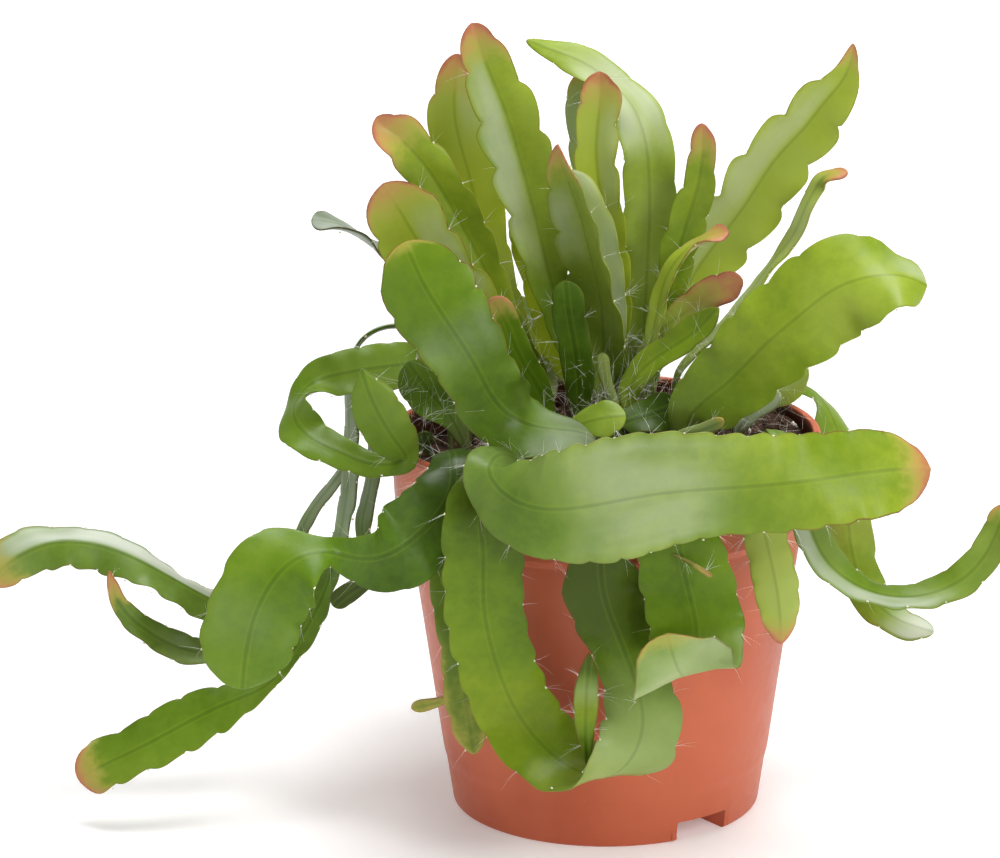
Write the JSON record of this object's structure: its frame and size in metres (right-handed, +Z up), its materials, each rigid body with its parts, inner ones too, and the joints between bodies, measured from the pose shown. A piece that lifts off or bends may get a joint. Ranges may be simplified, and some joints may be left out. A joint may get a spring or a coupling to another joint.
{
  "type": "potted rhipsalis",
  "caption": "Flat-stemmed forest cactus with upright, arching and hanging notched stems, rooted in soil in a tapered plastic nursery pot.",
  "frame": {"origin": "centre of the flat underside of the pot, on the surface it stands on", "axes": "+Z up along the pot's axis, -Y towards the viewer of the picture, +X to the viewer's right"},
  "size_m": [0.285, 0.1849, 0.2213],
  "materials": {
    "pot": "satin",
    "soil": "rough",
    "stem": "waxy satin"
  },
  "bodies": {
    "root": {"pot": "pot", "soil": "soil", "stem_back_a": "stem", "stem_back_b": "stem", "stem_back_c": "stem", "stem_back_d": "stem", "stem_back_e": "stem", "stem_behind_strap": "stem", "stem_big_right": "stem", "stem_blue_strap": "stem", "stem_bright_hang": "stem", "stem_cape_left": "stem", "stem_center_back": "stem", "stem_center_dark": "stem", "stem_center_dark_small": "stem", "stem_center_orange": "stem", "stem_center_pale": "stem", "stem_center_sprout": "stem", "stem_dried_tip": "stem", "stem_edge_right": "stem", "stem_front_strap": "stem", "stem_front_sweep": "stem", "stem_green_right_low": "stem", "stem_grey_left": "stem", "stem_grey_sliver": "stem", "stem_loop_left": "stem", "stem_low_right": "stem", "stem_oval": "stem", "stem_peek_left": "stem", "stem_pink_broad": "stem", "stem_pink_left": "stem", "stem_pink_narrow": "stem", "stem_pink_right": "stem", "stem_right_back_hang": "stem", "stem_right_long": "stem", "stem_right_reddish": "stem", "stem_right_short": "stem", "stem_right_under": "stem", "stem_shade_lower": "stem", "stem_shade_upper": "stem", "stem_shield": "stem", "stem_small_red": "stem", "stem_tall_center": "stem", "stem_tall_left": "stem", "stem_tall_left_back": "stem", "stem_trail_far": "stem", "stem_trail_low": "stem", "stem_trail_mid": "stem", "stem_upper_right": "stem"}
  },
  "joints": []
}
